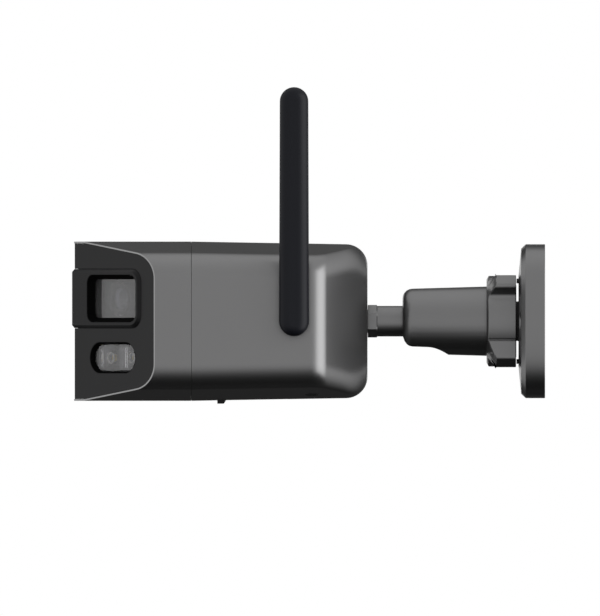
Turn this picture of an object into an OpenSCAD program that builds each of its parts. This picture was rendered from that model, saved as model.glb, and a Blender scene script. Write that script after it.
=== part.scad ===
// Two-lens wall camera on a ball-jointed bracket.
// Millimetres. The origin is the centre of the wall plate's back face, +X points out of the wall along
// the bracket, the way the camera looks, +Z is up, and +Y is the side that carries the antenna.

/* [Wall bracket] */
// Half of the wall plate's width and height
plate_r = 35; // [34.5:0.5:40]
// How square the wall plate's outline is: 2 is a circle, and higher is squarer
plate_square = 3.6; // [2.5:0.1:5]
// Thickness of the plate's straight rim
plate_rim = 8.8; // [7.5:0.1:9.2]
// Circle that the four wall screws sit on, across the middle of the plate
screw_circle = 56; // [55:0.5:58]
// Radius of a wall screw hole
screw_hole_r = 2.3; // [2:0.1:2.5]
// Radius of the cable outlet through the plate
outlet_r = 8; // [6.5:0.5:9]
// Radius of the lock nut's round body
nut_r = 20.6; // [20.2:0.1:21.2]
// Radius over the lock nut's four grip lugs
nut_lug_r = 26.8; // [25.5:0.1:27]
// Radius of the socket at its front end
cup_front_r = 14.8; // [14.3:0.1:15.2]
// Radius of the ball
ball_r = 11.5; // [11:0.1:11.8]
// Radius of the stem's neck
neck_r = 6.95; // [6:0.05:7.5]

/* [Camera head] */
// Half of the housing's width
half_w = 46.3; // [45.5:0.1:48]
// Half of the housing's height at the seam
half_h = 36.2; // [36:0.1:37]
// Half of the housing's height where its rear corners start
rear_half_h = 35; // [34.5:0.1:36]
// Radius of the housing's four long edges
edge_r = 12.1; // [11:0.1:13]
// Slope of the housing's roof towards its sides, in degrees
roof_slope = 10; // [8:1:12]
// Wall thickness of both housings
wall = 2.2; // [1.8:0.1:2.4]
// Angle that each front face is swept back by, in degrees
sweep = 40.35; // [38:0.05:42]
// Distance from the wall to the housing's front rim
rim_x = 214.1; // [212:0.1:216]
// Distance from the wall to the seam between the housings
seam_x = 160.8; // [158:0.1:163]

/* [Front faces] */
// Width of a lens recess along its face
recess_w = 34; // [32:0.5:35]
// Height of a lens recess
recess_h = 21.6; // [20:0.1:22]
// Height that the lens surround stands proud of the panel
hood_rise = 1.2; // [0.8:0.1:1.5]
// Width of a light opening along its face
light_w = 31.8; // [30:0.1:33]
// Height of a light opening
light_h = 14.2; // [13:0.1:15]

/* [Antenna] */
// Width of the antenna at its foot
antenna_w = 13.7; // [13:0.1:14]
// Width of the antenna at its tip
antenna_tip_w = 13.0; // [11.5:0.1:13.5]
// Height of the antenna's tip above its pivot
antenna_reach = 106.4; // [80:0.5:110]
// Thickness of the antenna, across the camera
antenna_t = 9.6; // [9:0.1:11]

/* [Hidden] */
$fn = 64;
hull_fn = 32;
gap = 0.1;
eps = 0.02;

// Bracket stations along X, measured from the wall.
plate_chamfer = 2;
plate_shoulder_x = plate_rim + 2.1;
plate_nose_x = 12.1;
plate_nose_r = 20.5;
seal_groove = [31.6, 33.4, 1.4];
plate_well_r = 22;
plate_well_depth = 5;
spigot_r = 16.8;
spigot_x = 21.5;
thread_pitch = 1.5;
thread_depth = 0.5;
thread_turns = 5;
spacer_r = [17.1, 19.4];
spacer_tab_reach = 17.2;
slit_z = 9;
nut_x = [13.2, 26.6];
nut_bore_r = 17.1;
nut_lip_r = 16.15;
nut_lip_t = 2.1;
nut_face_r = 18.9;
nut_chamfer = 0.54;
nut_groove_r = 0.35;
lug_half = 2;
lug_edge_r = 1.9;
lug_fillet_r = 2.5;
lug_ramp = 20.7;
flange_x = [21.7, 23.6];
flange_r = 16.9;
washer_x = [23.65, 24.4];
cup_rear_r = 15.85;
cup_x = 64.8;
cup_edge_r = 4.5;
cup_bore_r = 12.1;
ball_x = 53.3;
fit = 0.05;
slot_r = 9.1;
shoe_hole_r = 6.5;
shoe_front_x = 46;
cable_r = 3.6;
hex_r = 7.45;
hex_x = 76.4;
stem_r = 5.2;
stem_end_x = 94;
stem_washer_x = [88.05, 89.05];
stem_nut_r = 8.5;
stem_nut_h = 4.2;

// Housing stations along X.
rear_x = 80.7;
rear_edge_r = 9.8;
slant = 52;
slant_bow = 0.0087;
slant_x = 102.2;
slant_r = 10.15;
rear_half_w = 13.8;
roof_flat = 8.4;
nose_half = 3;
lip_t = 0.8;
panel_gap = 0.1;
panel_depth = 0.3;
panel_t = 3;
panel_back = panel_depth + panel_t;

// Places on a front face: u runs along the face from the nose outwards, v is up.
face_u = 27;
lens_u = 24.8;
lens_v = 10.3;
dome_r = 4.85;
recess_depth = 3.6;
glass_size = [34.4, 19.4, 1.8];
glass_seen = [32.4, 17.4, 2.5];
hood_u = 46.6;
hood_v = [-3.1, 23.7];
hood_bevel = 1.3;
hood_flange = 1;
hood_corner_r = 6;
hood_back = 6.4;
hood_edge = 0.25;
light_u = 26.7;
light_v = -16.6;
cover_w = 29.6;
cover_h = 12;
cover_depth = 2.2;

// Seam, seal and screws that join the housings.
tongue = [2.3, 3.5, 4];
seal_t = 1.4;
boss_r = 3.4;
boss_y = 37.5;
boss_z = 22.6;
boss_end_x = 166;
boss_x = [146, 174];
body_screw_r = 1.2;
body_screw_head_r = 2.8;

// Breather vent in the underside, and the speaker behind its holes.
vent_at = [106, 18.6, -31.35];
vent_r = 3;
speaker_x = 181;
speaker_pitch = 2.6;
speaker_hole_r = 0.6;

// Posts that carry the chassis plate and the main board.
post_places = [for (x = [104, 154], y = [-26, 26]) [x, y, 0]];
post_r = 3;
spacer_post_r = 2.4;

// Card door in the underside.
door_x = [117, 151];
door_half = 7.6;
door_lip_x = [144.7, 149];
door_pin_r = 0.6;
door_knuckle_r = 1.55;
door_pin_x = door_x[0] + 1.5;
door_pin_z = -33.9;
pad_z = -31.4;
button_x = 124.5;

// Heights of the chassis plate and of the main board's underside.
chassis_z = -14;
board_z = -8;

// Antenna's pivot.
antenna_x = 114.1;
hub_y = [half_w, half_w + 1.9];
antenna_y = hub_y[1] + 0.3;
hub_r = 6.5;
hub_thread_r = 4;
pin_r = 2.6;
pin_hole_r = 1.3;
antenna_wall = 1.4;
lead_r = 0.6;

// ---------- Shared geometry ----------

// Turns children so that their Z axis runs along +X.
module along_x(x = 0) { translate([x, 0, 0]) rotate([0, 90, 0]) children(); }

// A round bar from x0 to x1 about the bracket's axis.
module bar(x0, x1, r) { along_x(x0) cylinder(h = x1 - x0, r = r); }

// A box given by its lowest and highest corners.
module box(low, high) { translate(low) cube(high - low); }

// A slab with round corners, w by h by t, centred on u and v.
module slab(w, h, r, t) {
    linear_extrude(t) rounded(w, h, r);
}

module rounded(w, h, r) {
    square([w - 2 * r, h], center = true);
    square([w, h - 2 * r], center = true);
    for (i = [-1, 1], j = [-1, 1])
        translate([i * (w / 2 - r), j * (h / 2 - r)]) circle(r);
}

// A slot-shaped slab with full round ends, lying along u.
module stadium(w, h, t) {
    linear_extrude(t) {
        square([w - h, h], center = true);
        for (i = [-1, 1]) translate([i * (w - h) / 2, 0]) circle(h / 2);
    }
}

// Children are drawn on the left face (side 1) or mirrored on to the right one (side -1):
// X is along the face from the nose, Y is up and Z stands out of the face.
module on_face(side, u = 0, v = 0, n = 0) {
    mirrored(side)
        translate([rim_x, nose_half, 0]) rotate([90, 0, 90 + sweep]) translate([u, v, n]) children();
}

module mirrored(side) {
    if (side > 0) children(); else mirror([0, 1, 0]) children();
}

// The bent line of the two front faces, at a depth behind the housing's rim. Deep down the nose runs out
// and the two faces meet in an edge.
function face_x(depth, y) = rim_x - depth / cos(sweep) - tan(sweep) * (y - nose_half);
function v_line(depth, y = 60) =
    let (far = face_x(depth, y), half = nose_half - depth * tan(sweep / 2))
    half > 0.2 ? [[far, -y], [rim_x - depth, -half], [rim_x - depth, half], [far, y]]
               : [[far, -y], [face_x(depth, 0), 0], [far, y]];

// Everything behind that line.
module behind(depth) {
    linear_extrude(120, center = true) polygon(concat(v_line(depth), [[0, 60], [0, -60]]));
}

// A sheet that follows the two front faces between two depths.
module v_sheet(depth0, depth1) {
    difference() { behind(depth0); behind(depth1); }
}

// One quarter of the housing's cross-section, from its side up to the middle of its roof.
function quarter(w, top, r) =
    let (rr = min(r, (w - roof_flat) / (1 - sin(roof_slope))),
         cy = w - rr,
         cz = top - tan(roof_slope) * (cy - roof_flat) - rr / cos(roof_slope))
    concat([for (i = [0:6]) let (a = (90 - roof_slope) * i / 6) [cy + rr * cos(a), cz + rr * sin(a)]],
           [[roof_flat, top]]);

function reversed(list) = [for (i = [len(list) - 1:-1:0]) list[i]];

// The whole cross-section, in Y and Z.
function section(w, top, r) =
    let (q = quarter(w, top, r),
         right_up = q,
         left_up = [for (p = reversed(q)) [-p[0], p[1]]],
         left_down = [for (p = q) [-p[0], -p[1]]],
         right_down = [for (p = reversed(q)) [p[0], -p[1]]])
    concat(right_up, left_up, left_down, right_down);

// The cross-section drawn inwards by inset, run from x0 to x1.
module prism(x0, x1, inset = 0) {
    translate([x0, 0, 0]) rotate([90, 0, 90])
        linear_extrude(x1 - x0) polygon(section(half_w - inset, half_h - inset, edge_r - inset));
}

// [x, half width, half height] along the rear housing, drawn inwards by inset.
function rear_stations(inset) =
    let (corner_x = slant_x + inset * tan(slant / 2),
         r = slant_r - inset,
         t = r * tan(slant / 2),
         w = half_w - inset,
         edge = rear_edge_r - inset,
         end_x = rear_x + inset,
         bow_x = corner_x + t - r * sin(slant),
         top_end = rear_half_h - inset,
         draft = (half_h - rear_half_h) / (seam_x - rear_x - rear_edge_r))
    concat(
        [[seam_x, w, half_h - inset]],
        [for (i = [0:5]) let (a = slant * i / 5, x = corner_x + t - r * sin(a))
            [x, w - r * (1 - cos(a)), half_h - inset - draft * (seam_x - x)]],
        [for (i = [1:2]) let (x = bow_x - (bow_x - end_x - edge) * i / 3)
            [x, slant_w(w, corner_x, bow_x, x), half_h - inset - draft * (seam_x - x)]],
        [for (i = [0:6]) let (a = 15 * i, x = end_x + edge * (1 - sin(a)))
            [x, i == 6 ? rear_half_w - inset * 0.3 : slant_w(w, corner_x, bow_x, x),
             top_end - edge * (1 - cos(a))]]);

// Half width on the slanted side: a straight line that bows inwards behind bow_x.
function slant_w(w, corner_x, bow_x, x) = w - (corner_x - x) * tan(slant) - slant_bow * pow(bow_x - x, 2);

module rear_form(inset = 0) {
    hull() for (s = rear_stations(inset))
        translate([s[0] - eps, 0, 0]) rotate([90, 0, 90])
            linear_extrude(eps) polygon(section(s[1], s[2], edge_r - inset));
}

// ---------- Wall bracket ----------

module screw_places() {
    for (i = [0:3]) rotate([90 * i, 0, 0]) translate([0, screw_circle / 2, 0]) children();
}

// The plate's outline: a square with bowed sides and soft corners, reaching r along Y and along Z.
module plate_outline(r) {
    steps = 128;
    p = plate_square;
    polygon([for (i = [0:steps - 1]) let (a = 360 * i / steps, c = cos(a), s = sin(a))
        r * [c, s] / pow(pow(abs(c), p) + pow(abs(s), p), 1 / p)]);
}

// A slice of the plate, reaching r, from x on for t.
module plate_slice(x, r, t) {
    translate([x, 0, 0]) rotate([90, 0, 90]) linear_extrude(t) plate_outline(r);
}

module base_plate() {
    color("dimgray") difference() {
        union() {
            hull() {
                plate_slice(0, plate_r, plate_rim);
                plate_slice(plate_shoulder_x - eps, plate_r - plate_chamfer, eps);
                along_x(plate_nose_x - eps) cylinder(h = eps, r = plate_nose_r, $fn = hull_fn * 2);
            }
            bar(plate_nose_x - 1, spigot_x, spigot_r - thread_depth);
            for (i = [0:thread_turns - 1]) along_x(nut_x[0] + gap + thread_pitch * i) spigot_ridge();
        }
        for (j = [-1, 1]) mirror([0, 0, j > 0 ? 0 : 1])
            box([plate_nose_x, -spigot_r, slit_z], [nut_x[0], spigot_r, spigot_r + 1]);
        bar(-1, spigot_x + 1, outlet_r);
        bar(-1, plate_well_depth, plate_well_r);
        along_x(-1) difference() {
            cylinder(h = 1 + seal_groove[2], r = seal_groove[1]);
            cylinder(h = 1 + seal_groove[2], r = seal_groove[0]);
        }
        bar_ring(10.6, plate_nose_x + 1, spacer_r[0] - gap, spacer_r[1] + gap);
        screw_places() {
            bar(-1, 20, screw_hole_r);
            bar(6.5, 20, screw_hole_r * 1.85);
        }
    }
}

// One thread ridge, as a closed ring about X.
module spigot_ridge() {
    rotate_extrude() polygon([
        [spigot_r - thread_depth - 0.5, 0], [spigot_r - thread_depth, 0],
        [spigot_r, thread_pitch * 0.3], [spigot_r, thread_pitch * 0.5],
        [spigot_r - thread_depth, thread_pitch * 0.8], [spigot_r - thread_depth - 0.5, thread_pitch * 0.8]]);
}

module bar_ring(x0, x1, r0, r1) {
    difference() { bar(x0, x1, r1); bar(x0 - 1, x1 + 1, r0); }
}

module base_seal() {
    color("black") bar_ring(0, seal_groove[2] - gap, seal_groove[0] + gap, seal_groove[1] - gap);
}

module spacer_ring() {
    color("black") {
        bar_ring(10.65, plate_nose_x - gap, spacer_r[0], spacer_r[1]);
        for (i = [0:3]) intersection() {
            bar_ring(plate_nose_x - gap - eps, nut_x[0] - 0.2, spacer_r[0], spacer_r[1]);
            rotate([90 * i, 0, 0]) box([0, spacer_tab_reach, -plate_r], [spigot_x, plate_r, plate_r]);
        }
    }
}

module slip_washer() {
    color("white") bar_ring(washer_x[0], washer_x[1], nut_lip_r, flange_r);
}

// One quarter of the nut's outline, from -45 to 45 degrees round a lug that points along X: steep with a
// hollow fillet on one side, and a straight ramp on the other.
function arc_points(centre, r, from, to, steps) =
    [for (i = [0:steps]) let (a = from + (to - from) * i / steps) centre + r * [cos(a), sin(a)]];

function lug_outline() =
    let (edge = nut_lug_r - lug_edge_r,
         flank = lug_half + lug_edge_r,
         fillet_v = -flank - lug_fillet_r,
         fillet_u = sqrt(pow(nut_r + lug_fillet_r, 2) - fillet_v * fillet_v),
         foot = atan2(fillet_v, fillet_u),
         ramp_foot = nut_r * [cos(lug_ramp), sin(lug_ramp)],
         reach = ramp_foot - [edge, lug_half],
         ramp_start = atan2(reach[1], reach[0]) - acos(lug_edge_r / norm(reach)))
    concat(
        arc_points([0, 0], nut_r, -44, foot, 10),
        arc_points([fillet_u, fillet_v], lug_fillet_r, foot + 180 - 9, 90, 6),
        arc_points([edge, -lug_half], lug_edge_r, -90, 0, 5),
        arc_points([edge, lug_half], lug_edge_r, 0, ramp_start, 4),
        arc_points([0, 0], nut_r, lug_ramp, 45, 8));

module nut_outline() {
    polygon([for (i = [0:3], p = lug_outline())
        let (a = 45 + 90 * i) [p[0] * cos(a) - p[1] * sin(a), p[0] * sin(a) + p[1] * cos(a)]]);
}

module lock_nut() {
    color("dimgray") difference() {
        intersection() {
            translate([nut_x[0], 0, 0]) rotate([90, 0, 90])
                linear_extrude(nut_x[1] - nut_x[0]) nut_outline();
            along_x() rotate_extrude() polygon([
                [0, nut_x[0] - 1], [30, nut_x[0] - 1], [30, nut_x[1] - (30 - nut_face_r) * nut_chamfer],
                [nut_face_r, nut_x[1]], [nut_face_r, nut_x[1] + 1], [0, nut_x[1] + 1]]);
        }
        bar(nut_x[0] - 1, nut_x[1] - nut_lip_t, nut_bore_r);
        bar(nut_x[0] - 1, nut_x[1] + 1, nut_lip_r);
        for (i = [0:3]) rotate([45 + 90 * i + lug_ramp, 0, 0])
            translate([0, nut_r + 0.1, 0]) bar(nut_x[0] - 1, nut_x[1] + 1, nut_groove_r);
    }
}

// The cup's outer shape: a slow cone with a round front edge.
module cup_form() {
    steps = 5;
    along_x() rotate_extrude() polygon(concat(
        [[0, flange_x[0]], [flange_r, flange_x[0]], [flange_r, flange_x[1]], [cup_rear_r, flange_x[1]]],
        [for (i = [0:steps]) let (a = 90 * i / steps)
            [cup_front_r - cup_edge_r + cup_edge_r * cos(a), cup_x - cup_edge_r + cup_edge_r * sin(a)]],
        [[0, cup_x]]));
}

module socket_cup() {
    color("dimgray") difference() {
        cup_form();
        bar(flange_x[0] - 1, ball_x, cup_bore_r);
        translate([ball_x, 0, 0]) sphere(ball_r + fit);
        bar(ball_x, cup_x + 1, slot_r);
        translate([ball_x, 0, -20]) cylinder(h = 20, r = slot_r);
        box([ball_x, -slot_r, -20], [cup_x + 1, slot_r, 0]);
    }
}

module ball_shoe() {
    color("ivory") difference() {
        bar(spigot_x + gap, shoe_front_x, cup_bore_r - gap);
        translate([ball_x, 0, 0]) sphere(ball_r + fit);
        bar(spigot_x, shoe_front_x + 1, shoe_hole_r);
    }
}

module ball_stem() {
    color("dimgray") difference() {
        union() {
            translate([ball_x, 0, 0]) sphere(ball_r);
            bar(ball_x, hex_x, neck_r);
            along_x(hex_x) cylinder(h = rear_x - gap - hex_x, r = hex_r, $fn = 6);
            bar(rear_x - 1, stem_end_x, stem_r);
        }
        bar(ball_x, stem_end_x + 1, cable_r);
        box([ball_x - 20, -cable_r, -20], [ball_x, cable_r, 0]);
        bar(ball_x - 20, ball_x + eps, cable_r);
        translate([ball_x, 0, -20]) cylinder(h = 20, r = cable_r);
    }
}

module stem_seal() {
    color("black") along_x(rear_x + 0.75) rotate_extrude() translate([6.05, 0]) circle(0.7);
}

module stem_washer() {
    color("silver") bar_ring(stem_washer_x[0], stem_washer_x[1], stem_r + gap, stem_nut_r);
}

module stem_nut() {
    color("goldenrod") difference() {
        along_x(stem_washer_x[1] + gap) cylinder(h = stem_nut_h, r = stem_nut_r, $fn = 6);
        bar(stem_washer_x[1], stem_end_x, stem_r + fit);
    }
}

// ---------- Housings ----------

module front_shell() {
    color("slategray") difference() {
        union() {
            difference() {
                intersection() { prism(seam_x + 0.15, rim_x, 0); behind(0); }
                intersection() { prism(seam_x - 1, rim_x + 1, wall); behind(-1); }
                difference() { prism(seam_x + 5, rim_x + 1, lip_t); behind(panel_back + panel_gap); }
            }
            difference() {
                prism(seam_x + tongue[2] + seal_t + gap, seam_x + tongue[2] + seal_t + 1.6, wall - 0.5);
                prism(seam_x, rim_x, tongue[1] + 0.1);
            }
            for (i = [-1, 1], j = [-1, 1]) {
                translate([0, i * boss_y, j * boss_z]) bar(boss_end_x + fit, boss_x[1], boss_r);
                box_web(i, j, 168.5, boss_x[1]);
            }
        }
        for (i = [-1, 1], j = [-1, 1]) translate([0, i * boss_y, j * boss_z]) bar(160, 180, 1.7);
        for (i = [-2:2], j = [-1:1])
            translate([speaker_x + speaker_pitch * i, speaker_pitch * j, -40])
                cylinder(h = 10, r = speaker_hole_r);
    }
}

// A web that ties a screw boss to the housing's long edge.
module box_web(i, j, x0, x1) {
    mirrored(i) mirror([0, 0, j > 0 ? 0 : 1])
        translate([x0, boss_y, boss_z]) rotate([45, 0, 0]) translate([0, 2, -1]) cube([x1 - x0, 4.4, 2]);
}

module rear_shell() {
    color("slategray") difference() {
        union() {
            difference() {
                rear_form();
                rear_form(wall);
                prism(seam_x - 4.1, seam_x + 1, wall);
            }
            difference() {
                union() {
                    prism(seam_x - 4, seam_x - 0.1, wall - 0.4);
                    prism(seam_x - 2, seam_x + tongue[2], tongue[0]);
                }
                prism(seam_x - 5, seam_x + 6, tongue[1]);
            }
            for (i = [-1, 1], j = [-1, 1]) {
                translate([0, i * boss_y, j * boss_z]) bar(boss_x[0], boss_end_x, boss_r);
                box_web(i, j, boss_x[0], 157);
            }
            bar(rear_x + 1, 88, 9.4);
            intersection() {
                rear_form(0.5);
                union() {
                    box([door_x[0] - 4, -12, -40], [door_x[1] + 3, 12, pad_z]);
                    for (p = post_places) translate([p[0], p[1], -40])
                        cylinder(h = 40 + chassis_z - fit, r = post_r);
                }
            }
            translate([antenna_x, half_w - 1, 0]) rotate([90, 0, 0]) cylinder(h = 2.6, r = 8);
        }
        for (i = [-1, 1], j = [-1, 1]) translate([0, i * boss_y, j * boss_z]) bar(148, 167, 1.25);
        bar(rear_x - 1, 89, stem_r + fit);
        bar(rear_x - 1, rear_x + 1.6, 6.9);
        door_well();
        translate([antenna_x, half_w + 1, 0]) rotate([90, 0, 0]) cylinder(h = 6, r = hub_thread_r + gap);
        vent_place() translate([0, 0, -4]) cylinder(h = 8, r = vent_r + fit);
    }
}

// The recess that the card door closes, with its ledge, its pin holes and the holes behind it.
module door_well() {
    box([door_x[0] - 0.2, -door_half - gap, -40], [door_x[1] + gap, door_half + gap, pad_z - 2.2]);
    translate([door_pin_x, 0, door_pin_z]) rotate([90, 0, 0])
        cylinder(h = 2 * door_half + 2 * gap, r = door_knuckle_r + 0.2, center = true);
    box([door_x[0] + 4.5, -door_half + 1.2, -40], [door_x[1] - 1.4, door_half - 1.2, pad_z - 1.2]);
    door_pin_hole();
    translate([button_x, 0, -36]) cylinder(h = 8, r = 1.6 + fit);
    box([136.9, -5.9, -36], [138.3, 5.9, -28]);
}

// The vent sits in the underside, behind the seam.
module vent_place() { translate(vent_at) rotate([roof_slope, 0, 0]) children(); }

module vent_plug() {
    color("black") vent_place() {
        translate([0, 0, -2.2]) cylinder(h = 4.4, r = vent_r);
        translate([0, 0, 1.9]) cylinder(h = 1, r = vent_r + 1);
    }
}

module shell_seal() {
    x0 = seam_x + tongue[2] + gap / 2;
    color("black") difference() {
        prism(x0, x0 + seal_t, tongue[0]);
        prism(x0 - 1, x0 + seal_t + 1, tongue[1]);
    }
}

module body_screws() {
    color("silver") for (i = [-1, 1], j = [-1, 1]) translate([0, i * boss_y, j * boss_z]) {
        bar(152, boss_x[1] + gap, body_screw_r);
        difference() {
            bar(boss_x[1] + fit, boss_x[1] + 2.4, body_screw_head_r);
            bar(boss_x[1] + 1, boss_x[1] + 3, body_screw_r + gap);
        }
    }
}

// ---------- Front panel, windows and lights ----------

module front_panel() {
    color([0.07, 0.07, 0.075]) difference() {
        intersection() {
            prism(150, rim_x, lip_t + panel_gap);
            v_sheet(panel_depth, panel_back);
        }
        hood_hole(panel_gap);
        for (s = [-1, 1]) on_face(s, light_u, light_v, -panel_back - 1)
            stadium(light_w, light_h, panel_back + 2);
        bar_at_mic(0.7);
    }
}

module bar_at_mic(r) { translate([0, 0, -10]) bar(rim_x - 10, rim_x + 1, r); }

// The opening that the lens surround fills. Each side's slab runs on past the nose and crosses the other.
module hood_hole(extra) {
    h = hood_v[1] - hood_v[0] + 2 * extra;
    mid = (hood_v[0] + hood_v[1]) / 2;
    past = 14;
    for (s = [-1, 1]) on_face(s, (hood_u + extra - past) / 2, mid, -panel_back - 4)
        slab(hood_u + extra + past, h, hood_corner_r, 8);
}

// The lens surround's block: a flange behind the panel, straight up to the panel's face, then bevelled to
// its own face.
module hood_block() {
    h = hood_v[1] - hood_v[0];
    mid = (hood_v[0] + hood_v[1]) / 2;
    top = hood_rise - panel_depth;
    hull() for (s = [-1, 1]) on_face(s, 0, mid, -hood_back - 1)
        end_slab(hood_u + hood_flange, h + 2 * hood_flange, hood_corner_r, hood_back + 1 - panel_back - gap);
    hull() for (s = [-1, 1]) on_face(s) {
        translate([0, mid, -hood_back - 1]) end_slab(hood_u, h, hood_corner_r, hood_back + 1 - panel_depth);
        translate([0, mid, top - hood_edge])
            end_slab(hood_u - hood_bevel, h - 2 * hood_bevel, hood_corner_r - hood_bevel * 0.6, hood_edge,
                     top * tan(sweep / 2));
    }
}

// A slab from u = -start to u = length whose outer end has round corners.
module end_slab(length, h, r, t, start = 0) {
    linear_extrude(t) {
        translate([-start, -h / 2]) square([length - r + start, h]);
        translate([0, -h / 2 + r]) square([length, h - 2 * r]);
        for (j = [-1, 1]) translate([length - r, j * (h / 2 - r)]) circle(r, $fn = hull_fn);
    }
}

// The tapered recess in front of a lens, and the rebate that takes its window from behind.
module lens_recess() {
    hull() {
        translate([0, 0, -recess_depth - 1.5])
            slab(glass_seen[0], glass_seen[1], glass_seen[2], 1, $fn = hull_fn);
        translate([0, 0, hood_rise - panel_depth - 0.25]) slab(recess_w, recess_h, 4, 2, $fn = hull_fn);
    }
    translate([0, 0, -12]) slab(glass_size[0] + 0.2, glass_size[1] + 0.2, 3, 12 - recess_depth);
}

module lens_hood() {
    color([0.06, 0.06, 0.065]) difference() {
        hood_block();
        behind(hood_back);
        for (s = [-1, 1]) {
            on_face(s, face_u, lens_v, 0) lens_recess();
            on_face(s) for (p = frame_screw_places()) translate([p[0], p[1], -12]) cylinder(h = 10, r = 0.85);
        }
    }
}

module window_glass(side) {
    color([0.3, 0.3, 0.32]) on_face(side, face_u, lens_v, -recess_depth - glass_size[2])
        slab(glass_size[0], glass_size[1], 2.9, glass_size[2]);
}

module front_frame() {
    color("darkslategray") difference() {
        intersection() {
            prism(150, rim_x, wall + 0.5);
            v_sheet(hood_back + 0.1, hood_back + 1.9);
        }
        for (s = [-1, 1]) {
            on_face(s, lens_u, lens_v, -20) cylinder(h = 30, r = 7.9);
            on_face(s, light_u, light_v, -12) slab(31, 13.4, 3, 12);
            on_face(s) for (p = frame_screw_places()) translate([p[0], p[1], -12]) cylinder(h = 12, r = 0.95);
        }
        for (i = [-1, 1], j = [-1, 1]) mirrored(i) mirror([0, 0, j > 0 ? 0 : 1])
            box([150, boss_y - boss_r - 0.7, boss_z - boss_r - 0.7], [rim_x, half_w, half_h]);
        bar_at_mic(2.6);
    }
}

// Two screws a face hold the frame to the lens surround.
function frame_screw_places() = [[7.4, lens_v + 10.3], [38, lens_v - 11.6]];

module frame_screws() {
    color("silver") for (s = [-1, 1], p = frame_screw_places()) on_face(s, p[0], p[1], 0) {
        translate([0, 0, -hood_back - 3.2]) cylinder(h = 1.3, r = 1.7);
        translate([0, 0, -hood_back - 2]) cylinder(h = 4, r = 0.85);
    }
}

// ---------- Lens modules ----------

module lens_barrel(side) {
    color([0.1, 0.1, 0.1]) on_face(side, lens_u, lens_v, 0) difference() {
        union() {
            translate([0, 0, -8.4]) cylinder(h = 2.8, r = 7.5);
            translate([0, 0, -17]) cylinder(h = 9, r = 6);
        }
        translate([0, 0, -18]) cylinder(h = 14, r = 4.4);
        translate([0, 0, -10]) cylinder(h = 6, r = dome_r + fit);
        translate([0, 0, -7.6]) cylinder(h = 2.2, r1 = 4.7, r2 = 7);
    }
}

module lens_front(side) {
    color([0.25, 0.28, 0.35]) on_face(side, lens_u, lens_v, -9.95) intersection() {
        cylinder(h = 5, r = dome_r);
        translate([0, 0, -3.4]) sphere(7.6);
    }
}

module lens_holder(side) {
    color([0.12, 0.12, 0.12]) on_face(side, lens_u, lens_v, 0) difference() {
        union() {
            translate([0, 0, -16.8]) cylinder(h = 5.5, r = 7.4);
            translate([0, 4, -19.2]) slab(17, 20, 1, 5);
        }
        translate([0, 0, -17.05]) cylinder(h = 12, r = 6.1);
        translate([0, 0, -25]) cylinder(h = 12, r = 4.2);
        translate([-5.2, -4.7, -18.1]) cube([10.4, 17.7, 1]);
        translate([0, 0, -19.25]) slab(8, 9, 0.5, 1.3);
    }
}

// The infrared filter covers the lens by day and slides up out of the way at night.
module ir_filter(side) {
    color([0.7, 0.4, 0.45]) on_face(side, lens_u, lens_v, -17.95)
        translate([-5, -4.6, 0]) cube([10, 9.1, 0.7]);
}

module sensor_board(side) {
    color([0.05, 0.3, 0.15]) on_face(side, lens_u, lens_v, 0) {
        translate([0, 3, -20.5]) slab(18.6, 24, 1, 1.2);
        translate([0, 0, -19.35]) slab(7.4, 8.6, 0.3, 0.9);
        translate([-4, -8.5, -22.3]) cube([8, 3, 1.9]);
    }
}

// ---------- Lights ----------

module light_cover(side) {
    color([0.85, 0.88, 0.9]) on_face(side, light_u, light_v, 0) {
        translate([0, 0, -panel_back - 0.6]) stadium(cover_w, cover_h, panel_back + 0.6 - cover_depth);
        translate([0, 0, -panel_back - 1.9]) stadium(cover_w + 3.6, cover_h + 3.6, 1.85);
    }
}

module light_optic(side) {
    color([0.9, 0.92, 0.95]) on_face(side, light_u, light_v, 0) {
        for (i = [-1, 1]) translate([i * 7.2, 0, -8.7]) difference() {
            slab(13.6, 11.4, 2, 3.3);
            translate([0, 0, -0.1]) cylinder(h = 2, r = 2.4);
        }
    }
}

module led_board(side) {
    color([0.9, 0.9, 0.88]) on_face(side, light_u, light_v, -10.6) slab(30, 12.6, 2, 1.2);
}

module leds(side) {
    color([0.95, 0.9, 0.5]) on_face(side, light_u, light_v, -9.35)
        for (i = [-1, 1]) translate([i * 7.2, 0, 0]) {
            slab(3.4, 3.4, 0.4, 0.6);
            translate([0, 0, 0.5]) cylinder(h = 0.8, r = 1.3);
        }
}

// ---------- Inside the housing ----------

module chassis() {
    color("silver") difference() {
        union() {
            box([100, -30, chassis_z], [160, 30, chassis_z + 1.4]);
            box([158.6, -26, chassis_z], [160, 26, 16]);
            for (p = post_places) translate(p) translate([0, 0, -13])
                cylinder(h = 5 - gap, r = spacer_post_r);
        }
        box([120, -16, -20], [146, 16, -10]);
        for (y = [-18, 18]) box([157, y - 6, -6], [162, y + 6, 10]);
        for (p = post_places) translate(p) translate([0, 0, -20]) cylinder(h = 20, r = 1);
    }
}

module main_board() {
    color([0.05, 0.3, 0.12]) difference() {
        box([101, -29, board_z], [157, 29, board_z + 1.6]);
        for (p = post_places) translate(p) translate([0, 0, board_z - 1]) cylinder(h = 4, r = 1.2);
        box([121, -6, board_z - 1], [140, 6, board_z + 3]);
    }
}

module main_chips() {
    top = board_z + 1.6;
    color([0.08, 0.08, 0.09]) {
        translate([146, 0, top]) cube_on(14, 14, 1.8);
        for (y = [-14, 14]) translate([145, y, top]) cube_on(9, 7, 1.2);
        translate([112, 17, top]) cube_on(8, 8, 4.2);
        translate([125, 18, top]) cube_on(6, 6, 3);
    }
    color("silver") for (i = [0:2]) translate([110 + 8 * i, -20, top]) cylinder(h = 6.5, r = 3.1);
    color("ivory") for (y = [-18, 18]) translate([154.6, y, top]) cube_on(3.6, 12, 9);
}

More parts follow.
